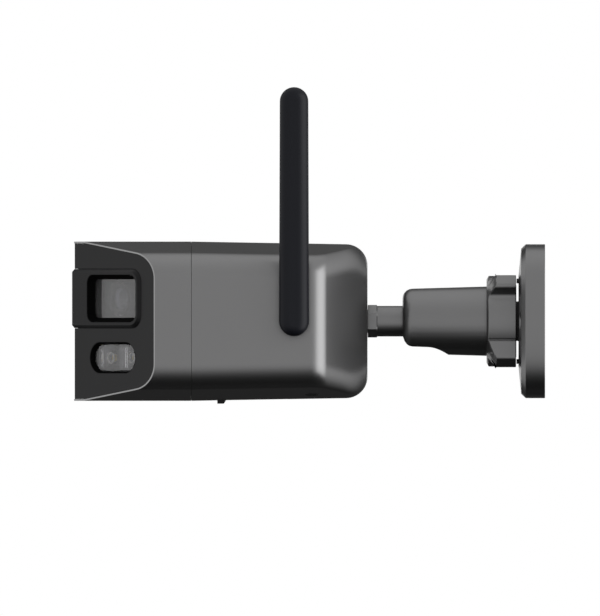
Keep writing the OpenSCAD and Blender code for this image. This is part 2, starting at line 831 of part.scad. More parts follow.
// A block that stands on a surface, centred in plan.
module cube_on(a, b, h) { translate([-a / 2, -b / 2, 0]) cube([a, b, h]); }

module thermal_pad() {
    color("lightblue") translate([146, 0, board_z + 3.4]) cube_on(13, 13, 1);
}

module heat_spreader() {
    color("lightgray") {
        translate([146, 0, board_z + 4.4]) cube_on(18, 24, 2);
        for (i = [-2:2]) translate([146, i * 5, board_z + 6.3]) cube_on(18, 1.6, 24);
    }
}

module wifi_board() {
    color([0.05, 0.2, 0.4]) box([118, 27, board_z + 4], [140, 28, board_z + 24]);
    color("ivory") box([124, 24.2, board_z + 1.6], [134, 27, board_z + 6]);
}

module wifi_shield() {
    color("silver") box([121, 28, board_z + 9], [137, 30.4, board_z + 22]);
}

// A flat ribbon that stands on edge between a lens board and the main board.
module ribbon(side) {
    t = 0.3;
    path = [[156.5, 14], [160.5, 13.9], [164, 12.6], [172, 8.4], [176.5, 7], [180.2, 7.3]];
    mirrored(side) translate([0, 0, -2]) linear_extrude(8)
        polygon(concat([for (p = path) [p[0], p[1] + t]], [for (p = reversed(path)) [p[0], p[1] - t]]));
}

module speaker() {
    color([0.15, 0.15, 0.15]) {
        translate([speaker_x, 0, -33.4]) cylinder(h = 1.2, r = 8.6);
        translate([speaker_x, 0, -32.4]) cylinder(h = 3.4, r = 7.4);
    }
}

module microphone() {
    color("silver") translate([0, 0, -10]) {
        bar_ring(rim_x - 6.45, rim_x - 4, 0.6, 2.4);
        bar(rim_x - 8.6, rim_x - 6.5, 2.4);
    }
}

module card_board() {
    color([0.05, 0.3, 0.12]) {
        box([139.8, -5.5, -29], [141, 5.5, -9]);
        box([121.5, -5.5, -10.2], [140, 5.5, -9]);
        box([121.5, -5.5, -29], [122.7, 5.5, -9.1]);
        box([121.5, -5.5, -29], [130, 5.5, -27.8]);
    }
    color("black") translate([button_x, 0, -30]) cube_on(3.6, 4.4, 1.05);
}

module card_socket() {
    color("silver") difference() {
        box([136.4, -6.6, -30.6], [139.7, 6.6, -15]);
        box([136.9, -5.7, -31], [138.2, 5.7, -16]);
    }
}

module reset_button() {
    color("white") {
        translate([button_x, 0, -33.2]) cylinder(h = 2.1, r = 1.6);
        translate([button_x, 0, pad_z + fit]) cylinder(h = 0.5, r = 2.1);
    }
}

// ---------- Card door ----------

module card_door() {
    color([0.08, 0.08, 0.08]) {
        difference() {
            intersection() {
                rear_form(0.05);
                box([door_pin_x, -door_half, -40], [door_x[1], door_half, pad_z - 2.3]);
            }
            door_pin_hole();
        }
        difference() {
            translate([door_pin_x, 0, door_pin_z]) rotate([90, 0, 0])
                cylinder(h = 2 * door_half, r = door_knuckle_r, center = true);
            door_pin_hole();
        }
        translate([door_lip_x[0], 5, -35.4]) rotate([90, 0, 0]) linear_extrude(10)
            polygon([[0, 0], [4.3, 0], [4.3, -2.1], [1.3, -2.1]]);
    }
}

module door_pin_hole() {
    translate([door_pin_x, 0, door_pin_z]) rotate([90, 0, 0])
        cylinder(h = 20, r = door_pin_r + fit, center = true);
}

module door_pin() {
    color("silver") translate([door_pin_x, 0, door_pin_z]) rotate([90, 0, 0])
        cylinder(h = 19.6, r = door_pin_r, center = true);
}

// ---------- Antenna ----------

// Children stand on the antenna's pivot: Z points out of the housing's side.
module at_pivot(y) { translate([antenna_x, y, 0]) rotate([-90, 0, 0]) children(); }

module antenna_hub() {
    color([0.1, 0.1, 0.11]) at_pivot(0) {
        difference() {
            union() {
                translate([0, 0, hub_y[0]]) cylinder(h = hub_y[1] - hub_y[0], r = hub_r);
                translate([0, 0, half_w - 4.4]) cylinder(h = 4.5, r = hub_thread_r);
            }
            translate([0, 0, 30]) cylinder(h = 30, r = pin_r + fit);
        }
        difference() {
            translate([0, 0, half_w - 6.3]) cylinder(h = 2.1, r = 6.4, $fn = 6);
            translate([0, 0, 30]) cylinder(h = 30, r = hub_thread_r);
        }
    }
}

module antenna_pin() {
    color("goldenrod") at_pivot(0) difference() {
        union() {
            translate([0, 0, half_w - 8.6]) cylinder(h = antenna_y + 5 - half_w + 8.6, r = pin_r);
            translate([0, 0, half_w - 8.6]) cylinder(h = 1.6, r = 4.6);
        }
        translate([0, 0, 20]) cylinder(h = 60, r = pin_hole_r);
    }
}

// The antenna's outer shape, drawn inwards by inset.
module antenna_form(inset) {
    hull() {
        antenna_puck(0, antenna_w / 2, inset);
        antenna_puck(antenna_reach - antenna_tip_w / 2, antenna_tip_w / 2, inset);
    }
}

// A round end of the antenna: flat on the camera's side, rounded over on the other.
module antenna_puck(z, r, inset) {
    back = antenna_y + inset;
    front = antenna_y + antenna_t - inset;
    soft = 3.4 - inset;
    back_soft = 1.6 - inset / 2;
    translate([antenna_x, 0, z]) rotate([-90, 0, 0]) rotate_extrude($fn = 48) polygon(concat(
        [[0, back]],
        [for (a = [0, 45, 90]) [r - inset - back_soft * (1 - sin(a)), back + back_soft * (1 - cos(a))]],
        [for (a = [0:18:90]) [r - inset - soft * (1 - cos(a)), front - soft * (1 - sin(a))]],
        [[0, front]]));
}

module antenna_cover() {
    color([0.11, 0.11, 0.13]) difference() {
        antenna_form(0);
        difference() {
            antenna_form(antenna_wall);
            box([100, 0, -10], [130, 80, 8]);
        }
        at_pivot(antenna_y - 1) cylinder(h = 6.1, r = pin_r + fit);
        at_pivot(antenna_y - 1) cylinder(h = 7.5, r = 1.5);
        translate([antenna_x - 1.4, antenna_y + 3, 0]) cube([2.8, 3, 12]);
    }
}

// The thin lead that runs from the radio through the hollow pin into the antenna.
module antenna_lead() {
    bend = 34;
    rise = 8;
    color("black") translate([antenna_x, bend, 0]) {
        rotate([-90, 0, 0]) cylinder(h = 15.5, r = lead_r);
        cylinder(h = rise, r = lead_r);
        translate([0, 0, rise]) rotate([0, 90, 0]) cylinder(h = rise, r = lead_r);
        translate([rise, 0, rise]) rotate([90, 0, 0]) cylinder(h = 3.55, r = lead_r);
        for (corner = [[0, 0, 0], [0, 0, rise], [rise, 0, rise]]) translate(corner) sphere(lead_r * 1.5);
    }
}

// ---------- Nodes ----------

base_plate();
base_seal();
spacer_ring();
slip_washer();
lock_nut();
socket_cup();
ball_shoe();
ball_stem();
stem_seal();
stem_washer();
stem_nut();
front_shell();
rear_shell();
shell_seal();
body_screws();
vent_plug();
front_panel();
lens_hood();
front_frame();
frame_screws();
window_glass(1);  // window_glass_left
window_glass(-1);  // window_glass_right
lens_barrel(1);  // lens_barrel_left
lens_barrel(-1);  // lens_barrel_right
lens_front(1);  // lens_front_left
lens_front(-1);  // lens_front_right
lens_holder(1);  // lens_holder_left
lens_holder(-1);  // lens_holder_right
ir_filter(1);  // ir_filter_left
ir_filter(-1);  // ir_filter_right
sensor_board(1);  // sensor_board_left
sensor_board(-1);  // sensor_board_right
light_cover(1);  // light_cover_left
light_cover(-1);  // light_cover_right
light_optic(1);  // light_optic_left
light_optic(-1);  // light_optic_right
led_board(1);  // led_board_left
led_board(-1);  // led_board_right
leds(1);  // leds_left
leds(-1);  // leds_right
chassis();
main_board();
main_chips();
thermal_pad();
heat_spreader();
wifi_board();
wifi_shield();
ribbon(1);  // flex_left
ribbon(-1);  // flex_right
speaker();
microphone();
card_board();
card_socket();
reset_button();
card_door();
door_pin();
antenna_hub();
antenna_pin();
antenna_cover();
antenna_lead();
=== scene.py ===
import math

import bmesh
import bpy
from mathutils import Matrix, Vector

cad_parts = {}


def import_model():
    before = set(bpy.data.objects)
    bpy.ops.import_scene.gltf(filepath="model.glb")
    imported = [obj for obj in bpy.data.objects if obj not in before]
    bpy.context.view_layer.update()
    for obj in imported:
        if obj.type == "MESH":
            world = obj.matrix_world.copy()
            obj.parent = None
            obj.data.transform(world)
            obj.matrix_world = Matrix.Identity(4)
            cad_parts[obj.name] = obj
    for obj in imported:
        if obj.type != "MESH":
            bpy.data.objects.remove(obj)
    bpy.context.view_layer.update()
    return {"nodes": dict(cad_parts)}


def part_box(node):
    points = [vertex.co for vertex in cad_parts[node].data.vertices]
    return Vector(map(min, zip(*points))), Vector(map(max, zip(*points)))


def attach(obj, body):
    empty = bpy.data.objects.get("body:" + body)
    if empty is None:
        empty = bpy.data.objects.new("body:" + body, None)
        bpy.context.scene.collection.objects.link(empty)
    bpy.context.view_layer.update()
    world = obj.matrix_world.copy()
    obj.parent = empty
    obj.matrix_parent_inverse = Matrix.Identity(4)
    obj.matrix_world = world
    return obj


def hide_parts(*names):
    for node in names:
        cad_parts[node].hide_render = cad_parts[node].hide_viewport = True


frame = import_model()

# Lengths are in millimetres unless a name says otherwise. The frame is in metres.
MM = 0.001


def node_box(node):
    """Lowest and highest corner of a CAD node, in millimetres."""
    low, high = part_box(node)
    return low / MM, high / MM


# ---------- Sizes of the housing ----------

REAR_LOW = node_box("rear_shell")[0]
FRONT_LOW, FRONT_HIGH = node_box("front_shell")
HALF_W = FRONT_HIGH.y
HALF_H = FRONT_HIGH.z
RIM_X = FRONT_HIGH.x
REAR_X = REAR_LOW.x + 0.02
SEAM_X = FRONT_LOW.x - 0.15
SEAM_GAP = 0.16
WALL = 2.2
EDGE_R = 12.1
ROOF_FLAT = 8.4
ROOF_SLOPE = math.radians(10)
REAR_HALF_H = 35.0
REAR_HALF_W = 13.8
REAR_EDGE_R = 9.8
SLANT = math.radians(52)
SLANT_BOW = 0.0087
SLANT_X = 102.2
SLANT_R = 10.15
SWEEP = math.radians(40.35)
NOSE_HALF = 3.0
LIP = 0.8


def arc(start, end, steps):
    """Angles from start to end, both included."""
    return [start + (end - start) * i / steps for i in range(steps + 1)]


# ---------- Mesh tools ----------


def skin(rings, cap_start=True, cap_end=True):
    """Points and faces of a closed-loop skin over rings of equal length."""
    count = len(rings[0])
    points = [p for ring in rings for p in ring]
    faces = []
    for i in range(len(rings) - 1):
        for j in range(count):
            k = (j + 1) % count
            faces.append((i * count + j, i * count + k, (i + 1) * count + k, (i + 1) * count + j))
    if cap_start:
        faces.append(tuple(reversed(range(count))))
    if cap_end:
        faces.append(tuple(range((len(rings) - 1) * count, len(rings) * count)))
    return points, faces


def frame_skin(rings):
    """A skin over rings of equal length, closed from the last ring back to the first."""
    points, faces = skin(rings, False, False)
    count = len(rings[0])
    last = (len(rings) - 1) * count
    faces += [(last + j, last + (j + 1) % count, (j + 1) % count, j) for j in range(count)]
    return points, faces


def turned(profile, segments):
    """Rings round Z through the (radius, height) points of profile."""
    turn = [2 * math.pi * i / segments for i in range(segments)]
    return [[(radius * math.cos(a), radius * math.sin(a), height) for a in turn]
            for radius, height in profile]


def lathe(profile, segments=64):
    """A skin round Z with flat ends."""
    return skin(turned(profile, segments))


def closed_lathe(profile, segments=64):
    """A ring-shaped skin round Z whose profile is a closed loop."""
    return frame_skin(turned(profile, segments))


def joined(parts):
    """Several (points, faces) pairs as one."""
    points, faces = [], []
    for part_points, part_faces in parts:
        base = len(points)
        points += part_points
        faces += [tuple(base + i for i in f) for f in part_faces]
    return points, faces


def shifted(part, dx):
    """A (points, faces) pair moved along X."""
    points, faces = part
    return [(x + dx, y, z) for x, y, z in points], faces


def solid(name, points, faces, place=None, smooth_deg=35):
    """A mesh object from millimetre points, put in place by a matrix, with clean normals."""
    place = place or Matrix.Identity(4)
    mesh = bpy.data.meshes.new(name)
    mesh.from_pydata([(place @ Vector(p)) * MM for p in points], [], faces)
    shape = bmesh.new()
    shape.from_mesh(mesh)
    bmesh.ops.remove_doubles(shape, verts=shape.verts, dist=2e-7)
    bmesh.ops.recalc_face_normals(shape, faces=shape.faces)
    shape.to_mesh(mesh)
    shape.free()
    obj = bpy.data.objects.new(name, mesh)
    bpy.context.scene.collection.objects.link(obj)
    shade(obj, smooth_deg)
    return obj


def shade(obj, smooth_deg):
    """Smooth shading, sharp where the faces turn by more than smooth_deg."""
    obj.data.polygons.foreach_set("use_smooth", [True] * len(obj.data.polygons))
    obj.data.set_sharp_from_angle(angle=math.radians(smooth_deg))


def bevel(obj, width, segments=3, angle_deg=32):
    """Rounds an object's edges by a width in millimetres and keeps its flats flat."""
    edge = obj.modifiers.new("edges", "BEVEL")
    edge.limit_method = "ANGLE"
    edge.angle_limit = math.radians(angle_deg)
    edge.width = width * MM
    edge.segments = segments
    edge.use_clamp_overlap = False
    edge.harden_normals = False


def smooth_by_angle(degrees):
    """A node group that shades a mesh smooth, and sharp where its faces turn by more than an angle."""
    name = f"smooth_below_{degrees}"
    if name in bpy.data.node_groups:
        return bpy.data.node_groups[name]
    group = bpy.data.node_groups.new(name, "GeometryNodeTree")
    group.interface.new_socket("Geometry", in_out="INPUT", socket_type="NodeSocketGeometry")
    group.interface.new_socket("Geometry", in_out="OUTPUT", socket_type="NodeSocketGeometry")
    nodes, links = group.nodes, group.links
    start = nodes.new("NodeGroupInput")
    end = nodes.new("NodeGroupOutput")
    turn = nodes.new("GeometryNodeInputMeshEdgeAngle")
    small = nodes.new("FunctionNodeCompare")
    small.operation = "LESS_EQUAL"
    small.inputs["B"].default_value = math.radians(degrees)
    faces = nodes.new("GeometryNodeSetShadeSmooth")
    faces.domain = "FACE"
    edges = nodes.new("GeometryNodeSetShadeSmooth")
    edges.domain = "EDGE"
    links.new(turn.outputs["Unsigned Angle"], small.inputs["A"])
    links.new(start.outputs[0], faces.inputs["Geometry"])
    links.new(faces.outputs[0], edges.inputs["Geometry"])
    links.new(small.outputs[0], edges.inputs["Shade Smooth"])
    links.new(edges.outputs[0], end.inputs[0])
    return group


def weigh(obj):
    normals = obj.modifiers.new("normals", "WEIGHTED_NORMAL")
    normals.keep_sharp = True
    normals.weight = 60


def baked(obj):
    """Applies an object's modifiers to its mesh."""
    bpy.context.view_layer.update()
    graph = bpy.context.evaluated_depsgraph_get()
    mesh = bpy.data.meshes.new_from_object(obj.evaluated_get(graph))
    obj.modifiers.clear()
    obj.data = mesh


def carve(obj, tools, operation="DIFFERENCE"):
    """Cuts tools out of an object, or joins them to it."""
    for tool in tools:
        cut = obj.modifiers.new("cut", "BOOLEAN")
        cut.object = tool
        cut.operation = operation
        cut.solver = "EXACT"
    baked(obj)
    for tool in tools:
        bpy.data.objects.remove(tool)


def block(low, high, name="tool"):
    """A box between two corners."""
    corners = [(x, y, z) for z in (low[2], high[2]) for x, y in
               ((low[0], low[1]), (high[0], low[1]), (high[0], high[1]), (low[0], high[1]))]
    return solid(name, *skin([corners[:4], corners[4:]]))


def rod(base, axis, radius, length, segments=48, name="tool"):
    """A round bar from base along axis."""
    turn = Vector((0, 0, 1)).rotation_difference(Vector(axis)).to_matrix().to_4x4()
    place = Matrix.Translation(Vector(base)) @ turn
    return solid(name, *lathe([(radius, 0), (radius, length)], segments), place)


def dress(obj, body, material):
    """Gives a new piece its material and its body."""
    obj.data.materials.clear()
    obj.data.materials.append(material)
    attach(obj, body)


# ---------- Materials ----------


def material(name, colour, rough, spec=0.5, metallic=0.0, mottle=0.05, mottle_mm=25, grain=0.3,
             grain_mm=0.5, rough_spread=0.04, coat=0.0, coat_rough=0.1):
    """A surface with a broad drift of shade, a fine grain, and roughness that follows the grain."""
    mat = bpy.data.materials.new(name)
    mat.use_nodes = True
    nodes, links = mat.node_tree.nodes, mat.node_tree.links
    shader = nodes["Principled BSDF"]
    shader.inputs["Metallic"].default_value = metallic
    shader.inputs["Specular IOR Level"].default_value = spec
    shader.inputs["Coat Weight"].default_value = coat
    shader.inputs["Coat Roughness"].default_value = coat_rough
    place = nodes.new("ShaderNodeTexCoord")
    broad = nodes.new("ShaderNodeTexNoise")
    broad.inputs["Scale"].default_value = 1 / (mottle_mm * MM)
    broad.inputs["Detail"].default_value = 3
    fine = nodes.new("ShaderNodeTexNoise")
    fine.inputs["Scale"].default_value = 1 / (grain_mm * MM)
    fine.inputs["Detail"].default_value = 2
    shades = nodes.new("ShaderNodeMix")
    shades.data_type = "RGBA"
    shades.inputs["A"].default_value = (*[c * (1 - mottle) for c in colour], 1)
    shades.inputs["B"].default_value = (*[c * (1 + mottle) for c in colour], 1)
    gloss = nodes.new("ShaderNodeMapRange")
    gloss.inputs["To Min"].default_value = rough - rough_spread
    gloss.inputs["To Max"].default_value = rough + rough_spread
    bump = nodes.new("ShaderNodeBump")
    bump.inputs["Strength"].default_value = grain
    bump.inputs["Distance"].default_value = 0.02 * MM
    for noise in (broad, fine):
        links.new(place.outputs["Object"], noise.inputs["Vector"])
    links.new(broad.outputs["Fac"], shades.inputs["Factor"])
    links.new(shades.outputs["Result"], shader.inputs["Base Color"])
    links.new(fine.outputs["Fac"], gloss.inputs["Value"])
    links.new(gloss.outputs["Result"], shader.inputs["Roughness"])
    links.new(fine.outputs["Fac"], bump.inputs["Height"])
    links.new(bump.outputs["Normal"], shader.inputs["Normal"])
    return mat


def clear(name, tint, rough=0.02, ior=1.5, through=1.0):
    """Clear or smoked glass or plastic with a faint waviness; through is how much of it lets light pass."""
    mat = material(name, tint, rough, mottle=0.01, grain=0.02, grain_mm=12, rough_spread=0.01)
    shader = mat.node_tree.nodes["Principled BSDF"]
    shader.inputs["Transmission Weight"].default_value = through
    shader.inputs["IOR"].default_value = ior
    return mat


HOUSING = material("housing_paint", (0.155, 0.155, 0.156), 0.34, metallic=0.95, grain=0.1, grain_mm=0.35,
                   mottle=0.02)
# Lighter than the housing paint: a painted highlight for the light caught by the lip's forward-facing rim.
LIP_HIGHLIGHT_PAINT = material("lip_painted_highlight", (0.235, 0.235, 0.236), 0.34, metallic=0.95, grain=0.05, grain_mm=0.3)
BRACKET = material("bracket_paint", (0.145, 0.145, 0.146), 0.32, metallic=0.95, grain=0.12, grain_mm=0.35,
                   mottle=0.03)
PANEL = material("panel_black", (0.0055, 0.0055, 0.006), 0.32, spec=0.15, grain=0.08, grain_mm=0.3)
HOOD = material("surround_black", (0.004, 0.004, 0.0045), 0.28, spec=0.14, grain=0.08, grain_mm=0.3)
ANTENNA = material("antenna_black", (0.005, 0.0055, 0.008), 0.35, spec=0.12, grain=0.12, grain_mm=0.4)
# Near-black and nearly without gloss: painted shade for the walls of the recesses round the windows and the
# lights.
RECESS_SHADE_BLACK = material("recess_painted_shade", (0.002, 0.002, 0.002), 0.8, spec=0.02, grain=0.2, grain_mm=0.4)
BLACK = material("matte_black", (0.008, 0.008, 0.008), 0.7, spec=0.2, grain=0.3, grain_mm=0.4)
BARREL = material("barrel_black", (0.02, 0.02, 0.022), 0.35, spec=0.5, grain=0.1, grain_mm=0.3)
RETAINER = material("retaining_ring", (0.5, 0.5, 0.52), 0.25, metallic=0.9, grain=0.05, grain_mm=0.3)
PUPIL = material("pupil_coating", (0.75, 0.75, 0.78), 0.12, metallic=1.0, grain=0.02, grain_mm=0.5)
RUBBER = material("seal_rubber", (0.012, 0.012, 0.012), 0.75, spec=0.25, grain=0.4, grain_mm=0.6)
SLIP = material("slip_plastic", (0.62, 0.61, 0.57), 0.4, grain=0.15, grain_mm=0.6)
STEEL = material("screw_steel", (0.55, 0.55, 0.56), 0.3, metallic=1.0, grain=0.15, grain_mm=0.3)
BRASS = material("machined_brass", (0.62, 0.45, 0.18), 0.28, metallic=1.0, grain=0.15, grain_mm=0.3)
ALUMINIUM = material("sheet_aluminium", (0.62, 0.62, 0.63), 0.38, metallic=1.0, grain=0.2, grain_mm=0.4)
BOARD = material("circuit_board", (0.012, 0.09, 0.035), 0.35, mottle=0.2, mottle_mm=4, grain=0.3,
                 grain_mm=0.8)
LED_BOARD = material("white_board", (0.7, 0.7, 0.67), 0.4, grain=0.15, grain_mm=0.6)
CHIP = material("chip_resin", (0.02, 0.02, 0.022), 0.55, grain=0.3, grain_mm=0.3)
PAD = material("heat_pad", (0.4, 0.5, 0.62), 0.8, grain=0.4, grain_mm=0.5)
RIBBON = material("ribbon_film", (0.4, 0.2, 0.05), 0.3, grain=0.1, grain_mm=1.0)
BUTTON = material("button_plastic", (0.6, 0.6, 0.6), 0.4, grain=0.2, grain_mm=0.4)
PHOSPHOR = material("led_phosphor", (0.75, 0.6, 0.2), 0.35, grain=0.1, grain_mm=0.3)
MIRROR = material("reflector_metal", (0.16, 0.16, 0.165), 0.16, metallic=1.0, mottle=0.06, mottle_mm=3,
                  grain=0.08, grain_mm=0.8)
RIB = material("bright_rib", (0.75, 0.75, 0.76), 0.15, metallic=1.0, grain=0.05, grain_mm=0.5)
WINDOW = clear("window_glass", (0.45, 0.45, 0.455), ior=1.5, through=0.9)
COVER = clear("light_cover", (0.5, 0.5, 0.51), ior=1.5, through=0.97)
COATED = clear("coated_lens", (0.75, 0.76, 0.85), ior=1.6)
FILTER = clear("filter_glass", (0.8, 0.45, 0.5), ior=1.5)


# ---------- Housing ----------


def quarter(w, top, r, steps):
    """A quarter of the housing's section, from its side up to the nose flat."""
    r = min(r, (w - ROOF_FLAT) / (1 - math.sin(ROOF_SLOPE)))
    cy = w - r
    cz = top - math.tan(ROOF_SLOPE) * (cy - ROOF_FLAT) - r / math.cos(ROOF_SLOPE)
    points = [(cy + r * math.cos(a), cz + r * math.sin(a)) for a in arc(0, math.pi / 2 - ROOF_SLOPE, steps)]
    blend = 1.2
    drop = blend * math.tan(ROOF_SLOPE)
    points += [(ROOF_FLAT + blend, top - drop), (ROOF_FLAT, top - drop / 4)]
    points += [(ROOF_FLAT - blend, top), (NOSE_HALF, top)]
    return points


def section(w, top, r, steps=14):
    """The housing's whole section, as (y, z) points in order round it."""
    q = quarter(w, top, r, steps)
    back = list(reversed(q))
    return q + [(-y, z) for y, z in back] + [(-y, -z) for y, z in q] + [(y, -z) for y, z in back]


def inset_section(inset):
    return section(HALF_W - inset, HALF_H - inset, EDGE_R - inset)


def ring_at(x, outline):
    return [(x, y, z) for y, z in outline]


def rear_rings(inset):
    """Rings of the rear housing from its back towards the seam, drawn inwards by inset."""
    corner_x = SLANT_X + inset * math.tan(SLANT / 2)
    r = SLANT_R - inset
    tangent = r * math.tan(SLANT / 2)
    w = HALF_W - inset
    edge = REAR_EDGE_R - inset
    bow_x = corner_x + tangent - r * math.sin(SLANT)
    draft = (HALF_H - REAR_HALF_H) / (SEAM_X - REAR_X - REAR_EDGE_R)

    def slant_w(x):
        return w - (corner_x - x) * math.tan(SLANT) - SLANT_BOW * (bow_x - x) ** 2

    rings = []
    for a in arc(math.pi / 2, 0, 12):
        x = REAR_X + inset + edge * (1 - math.sin(a))
        half = REAR_HALF_W - inset * 0.3 if a == math.pi / 2 else slant_w(x)
        top = REAR_HALF_H - inset - edge * (1 - math.cos(a))
        rings.append(ring_at(x, section(half, top, EDGE_R - inset)))
    edge_x = REAR_X + inset + edge
    for x in arc(edge_x, bow_x, 6)[1:-1]:
        rings.append(ring_at(x, section(slant_w(x), HALF_H - inset - draft * (SEAM_X - x), EDGE_R - inset)))
    for a in arc(SLANT, 0, 12):
        x = corner_x + tangent - r * math.sin(a)
        top = HALF_H - inset - draft * (SEAM_X - x)
        rings.append(ring_at(x, section(w - r * (1 - math.cos(a)), top, EDGE_R - inset)))
    return rings


def front_x(y, depth=0.0):
    """Where the V of the front stands at a distance y from the middle."""
    return min(RIM_X - depth, RIM_X - depth / math.cos(SWEEP) - math.tan(SWEEP) * (abs(y) - NOSE_HALF))


def rear_housing():
    """The rear housing with the pad, the recess and the holes behind its card door."""
    seam = SEAM_X - SEAM_GAP / 2
    soft = 0.12
    groove_deep = 0.3
    front_side = SEAM_X + SEAM_GAP / 2 - 0.01
    tongue_low, tongue_high, tongue_reach = 2.3, 3.5, 4.0
    lip = [ring_at(seam - soft, inset_section(0)), ring_at(seam - soft * 0.3, inset_section(soft * 0.3)),
           ring_at(seam, inset_section(soft)), ring_at(seam, inset_section(groove_deep)),
           ring_at(front_side, inset_section(groove_deep)), ring_at(front_side, inset_section(tongue_low)),
           ring_at(SEAM_X + tongue_reach, inset_section(tongue_low)),
           ring_at(SEAM_X + tongue_reach, inset_section(tongue_high)),
           ring_at(SEAM_X - tongue_reach, inset_section(tongue_high)),
           ring_at(SEAM_X - tongue_reach, inset_section(WALL))]
    outer = rear_rings(0) + lip
    inner = rear_rings(WALL)
    shell = solid("rear_housing", *skin(outer + list(reversed(inner))))
    door_low, door_high = node_box("card_door")
    pin_low, pin_high = node_box("door_pin")
    pin = (pin_low + pin_high) / 2
    button_low, button_high = node_box("reset_button")
    button = (button_low + button_high) / 2
    slot_low, slot_high = node_box("card_socket")
    below = -40
    pad_top, pad_foot, pad_half, pad_past = -31.4, -34.6, 12, 3
    recess_top = pad_top - 2.2
    floor = pad_top - 1.2
    gap, pin_gap, door_ledge, catch_ledge = 0.15, 0.2, 1.2, 1.4
    hole_r = 1.75
    pad = block((door_low.x - pad_past, -pad_half, pad_foot), (door_high.x + pad_past, pad_half, pad_top))
    carve(shell, [pad], "UNION")
    carve(shell, [
        block((door_low.x - pin_gap, door_low.y - gap, below),
              (door_high.x + gap, door_high.y + gap, recess_top)),
        rod((pin.x, door_low.y - gap, pin.z), (0, 1, 0), hole_r, door_high.y - door_low.y + 2 * gap),
        block((pin.x + 3, door_low.y + door_ledge, below),
              (door_high.x - catch_ledge, door_high.y - door_ledge, floor)),
        rod((button.x, 0, below), (0, 0, 1), hole_r, 12, 32),
        block((slot_low.x + 0.5, slot_low.y + 0.7, below),
              (slot_high.x - catch_ledge, slot_high.y - 0.7, -28)),
    ])
    shade(shell, 32)
    bevel(shell, 0.15, 2, 50)
    weigh(shell)
    dress(shell, "head", HOUSING)
    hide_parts("rear_shell")


def front_housing():
    """The front housing, with its thin lip round the V and the speaker's holes in its underside."""
    seam = SEAM_X + SEAM_GAP / 2
    soft = 0.12
    edge = 0.12

    def v_ring(inset, depth):
        return [(front_x(y, depth), y, z) for y, z in inset_section(inset)]

    rings = [ring_at(seam, inset_section(WALL)), ring_at(seam, inset_section(soft)),
             ring_at(seam + soft * 0.3, inset_section(soft * 0.3)), ring_at(seam + soft, inset_section(0)),
             v_ring(0, edge * 2), v_ring(edge * 0.3, edge * 0.4), v_ring(edge, 0), v_ring(LIP - edge, 0),
             v_ring(LIP, edge), v_ring(LIP + 0.07, edge * 2), v_ring(LIP + 0.07, 3.6), v_ring(WALL, 3.6)]
    shell = solid("front_housing", *frame_skin(rings))
    speaker_low, speaker_high = node_box("speaker")
    middle = (speaker_low + speaker_high) / 2
    pitch = 2.6
    holes = [rod((middle.x + pitch * i, pitch * j, -HALF_H - 2), (0, 0, 1), 0.6, 6, 16)
             for i in range(-2, 3) for j in (-1, 0, 1)]
    carve(shell, holes)
    shade(shell, 32)
    weigh(shell)
    dress(shell, "head", HOUSING)
    # The lip's front faces take the lighter paint, a painted highlight along the rim.
    shell.data.materials.append(LIP_HIGHLIGHT_PAINT)
    for face in shell.data.polygons:
        centre = face.center / MM
        on_lip = abs(centre.x - front_x(centre.y)) < edge and abs(face.normal.x) > 0.6
        face.material_index = 1 if on_lip else 0
    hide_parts("front_shell")


rear_housing()
front_housing()


# ---------- Places on the two front faces ----------


def face_place(side, u=0.0, v=0.0, n=0.0):
    """Matrix from (along the face, up, out of it) to the frame; side is 1 on the antenna's side, else -1."""
    along = Vector((-math.sin(SWEEP), side * math.cos(SWEEP), 0))
    up = Vector((0, 0, 1))
    out = Vector((math.cos(SWEEP), side * math.sin(SWEEP), 0))
    origin = Vector((RIM_X, side * NOSE_HALF, 0)) + along * u + up * v + out * n
    place = Matrix.Identity(4)
    for column, axis in enumerate((along, up, out, origin)):
        for row in range(3):
            place[row][column] = axis[row]
    return place


def face_spot(node, side):
    """Where a node's middle is on its front face, as (u, v)."""
    low, high = node_box(node)
    spot = face_place(side).inverted() @ ((low + high) / 2)
    return spot.x, spot.y


SIDES = {"left": 1, "right": -1}


def rounded(w, h, r, steps=8):
    """A rounded rectangle's outline."""
    half_w, half_h = w / 2 - r, h / 2 - r
    corners = [(half_w, half_h), (-half_w, half_h), (-half_w, -half_h), (half_w, -half_h)]
    return [(x + r * math.cos(a), y + r * math.sin(a)) for q, (x, y) in enumerate(corners)
            for a in arc(q * math.pi / 2, (q + 1) * math.pi / 2, steps)]


def at_height(outline, n):
    return [(x, y, n) for x, y in outline]


# ---------- Lights ----------

# How far each of a light's two cells is from its middle.
CELL_OFFSET = 7.2


def light_bezel(name, side):
    """The sloped wall between the panel's opening and the light's clear cover, in the near-black that paints
    the shade of a recess.
    """
    u, v = face_spot("light_cover_" + name, side)
    w, h = 31.7, 14.1
    foot, deep, edge, top = -3.2, -2.9, -0.55, -0.45
    front = rounded(w, h, h / 2 - 0.01, 16)
    middle = rounded(w - 0.5, h - 0.5, h / 2 - 0.26, 16)
    back = rounded(w - 1.8, h - 1.8, h / 2 - 0.92, 16)
    rings = [at_height(front, foot), at_height(front, edge), at_height(middle, top), at_height(back, deep),
             at_height(back, foot)]
    obj = solid("light_bezel_" + name, *frame_skin(rings), face_place(side, u, v))
    dress(obj, "head", RECESS_SHADE_BLACK)


